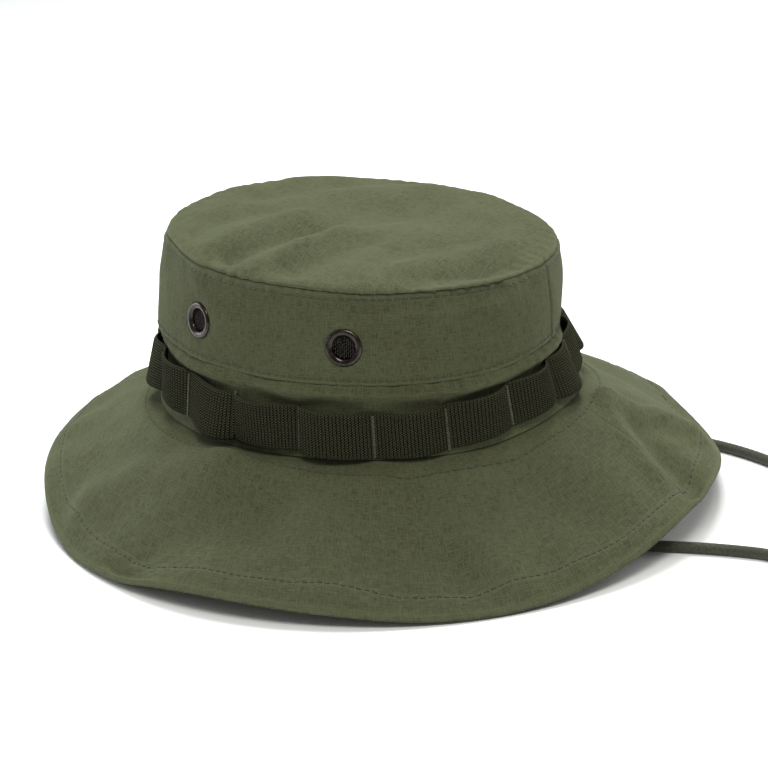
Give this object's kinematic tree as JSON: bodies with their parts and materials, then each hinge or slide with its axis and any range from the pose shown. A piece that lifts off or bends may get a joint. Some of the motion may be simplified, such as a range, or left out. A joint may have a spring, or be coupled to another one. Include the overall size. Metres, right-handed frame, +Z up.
{
  "type": "boonie hat",
  "caption": "Soft wide-brimmed field hat with a flat oval crown, screened side vents, a band of webbing loops and a corded chin loop with a sliding leather keeper.",
  "frame": {"origin": "on the floor, under the middle of the brim", "axes": "+Z up, -Y to the front of the hat, +X to the wearer's left; the hat stands on the edge of its brim"},
  "size_m": [0.3112, 0.4597, 0.1336],
  "materials": {
    "canvas": "olive drab cotton, plain weave, matte",
    "interlining": "stiff undyed cotton",
    "tape": "olive cotton tape",
    "webbing": "dark olive ribbed webbing",
    "thread": "olive sewing thread",
    "vent_metal": "dark bronzed finish, semi gloss",
    "vent_mesh": "dark bronzed wire mesh",
    "sweatband": "olive cotton, soft",
    "label": "plain woven tag, blank",
    "cord": "dark olive braided cord",
    "keeper_leather": "dark brown leather, waxed"
  },
  "bodies": {
    "hat": {"crown_top_panel": "canvas", "crown_wall_left": "canvas", "crown_wall_right": "canvas", "crown_band_left": "canvas", "crown_band_right": "canvas", "brim_upper_left": "canvas", "brim_upper_right": "canvas", "brim_lower_left": "canvas", "brim_lower_right": "canvas", "brim_interlining": "interlining", "top_seam_binding": "tape", "crown_seam_tapes": "tape", "webbing_band": "webbing", "webbing_bar_tacks": "thread", "vent_eyelets": "vent_metal", "vent_washers": "vent_metal", "vent_screens": "vent_mesh", "sweatband": "sweatband", "blank_label": "label", "cord_tab_left": "tape", "cord_tab_right": "tape", "chin_cord": "cord"},
    "keeper": {"cord_keeper": "keeper_leather"}
  },
  "joints": [
    {"name": "keeper_slide", "type": "slide", "parent": "hat", "child": "keeper", "axis": [-0.9397, -0.342, 0], "range_m": [0, 0.032]}
  ]
}
